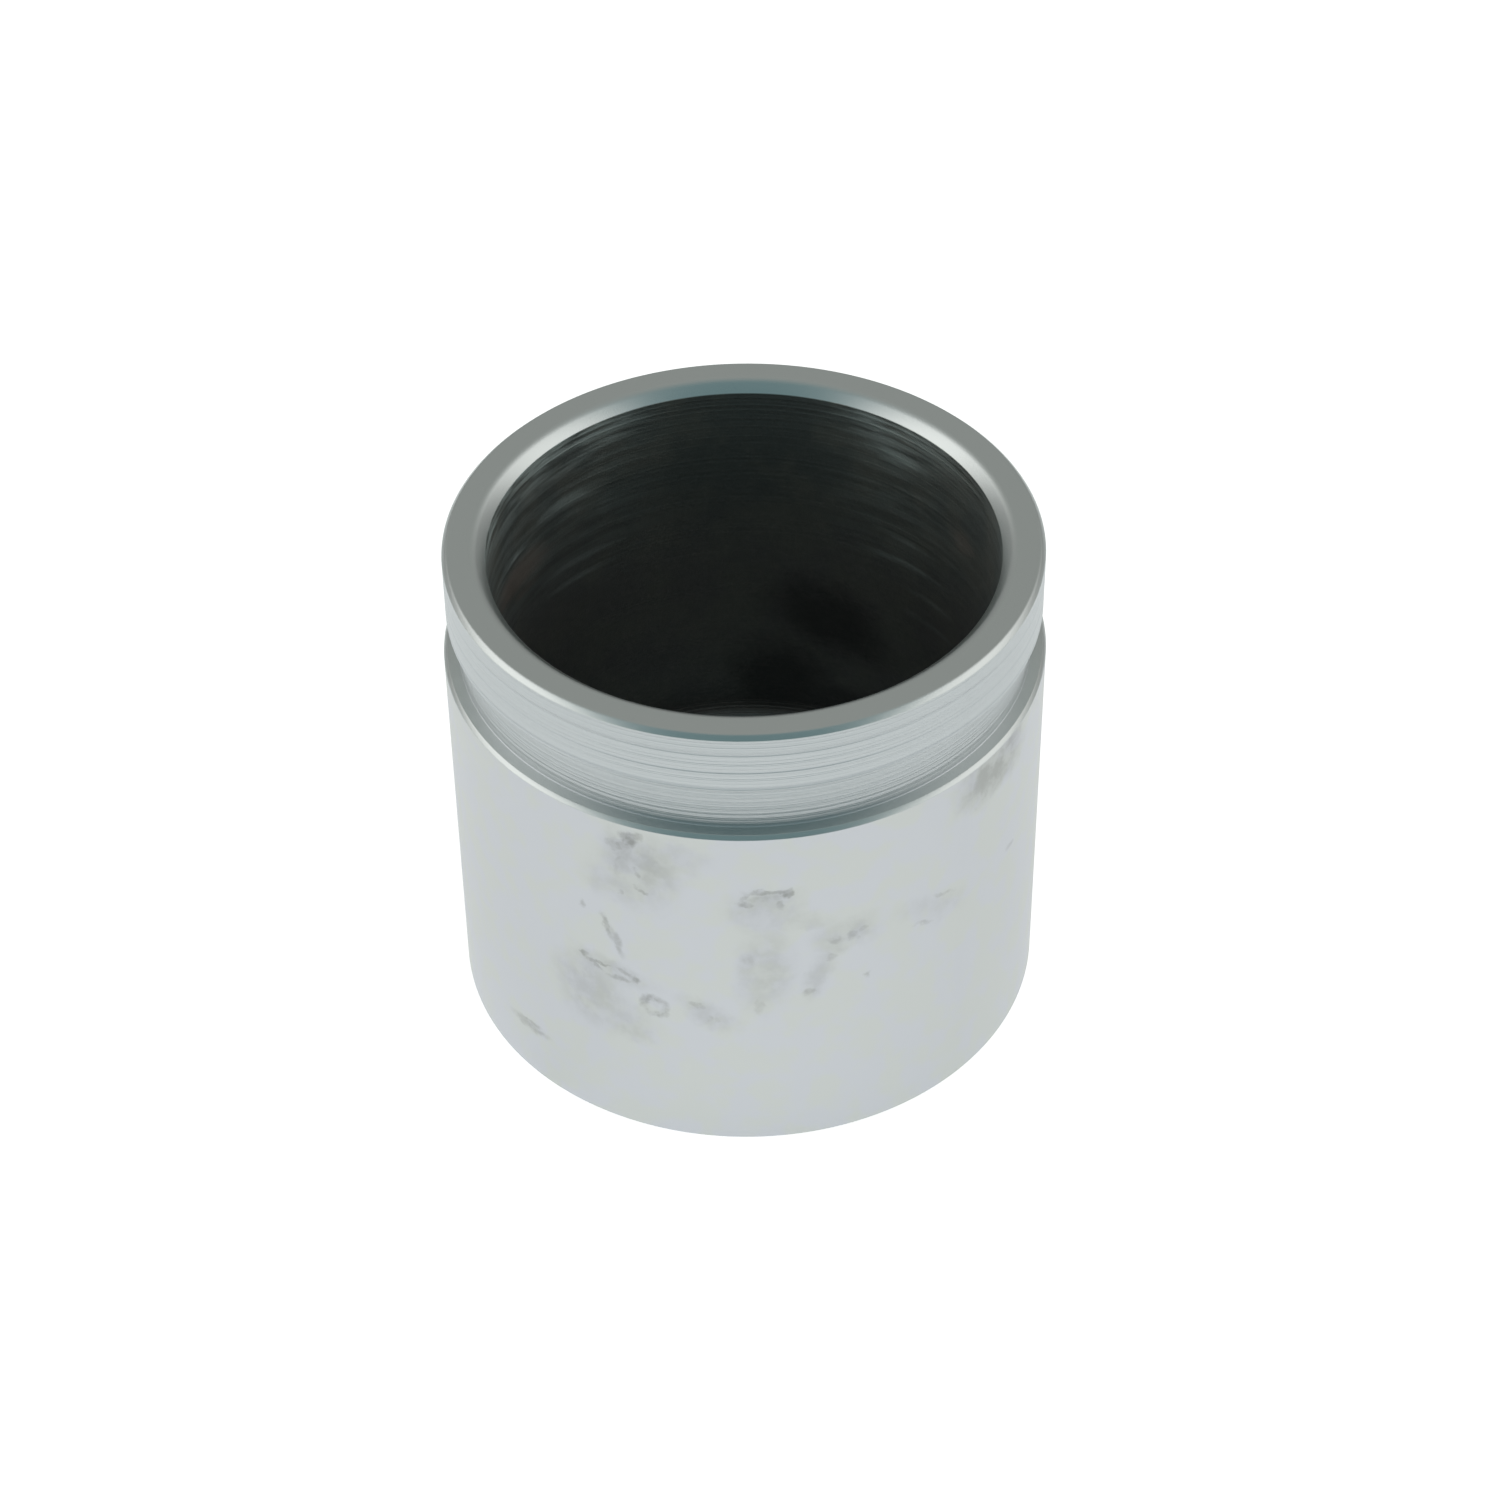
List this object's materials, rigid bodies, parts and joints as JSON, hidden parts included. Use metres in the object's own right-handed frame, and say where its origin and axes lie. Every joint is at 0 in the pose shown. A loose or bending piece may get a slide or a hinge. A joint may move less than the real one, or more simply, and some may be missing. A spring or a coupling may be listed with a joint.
{
  "type": "brake caliper piston",
  "caption": "Turned steel cup that slides in a disc brake caliper, with a stepped neck and a boot groove under its open rim.",
  "frame": {"origin": "centre of the closed foot face", "axes": "+Z along the piston's axis, from the closed foot to the open rim; the part is the same all round, so +X and +Y are free"},
  "size_m": [0.054, 0.054, 0.0484],
  "materials": {
    "plated_steel": "bright plated and fine ground outside, turned and darkened inside the bore, with a few dried fluid stains"
  },
  "bodies": {
    "root": {"piston": "plated_steel"}
  },
  "joints": []
}
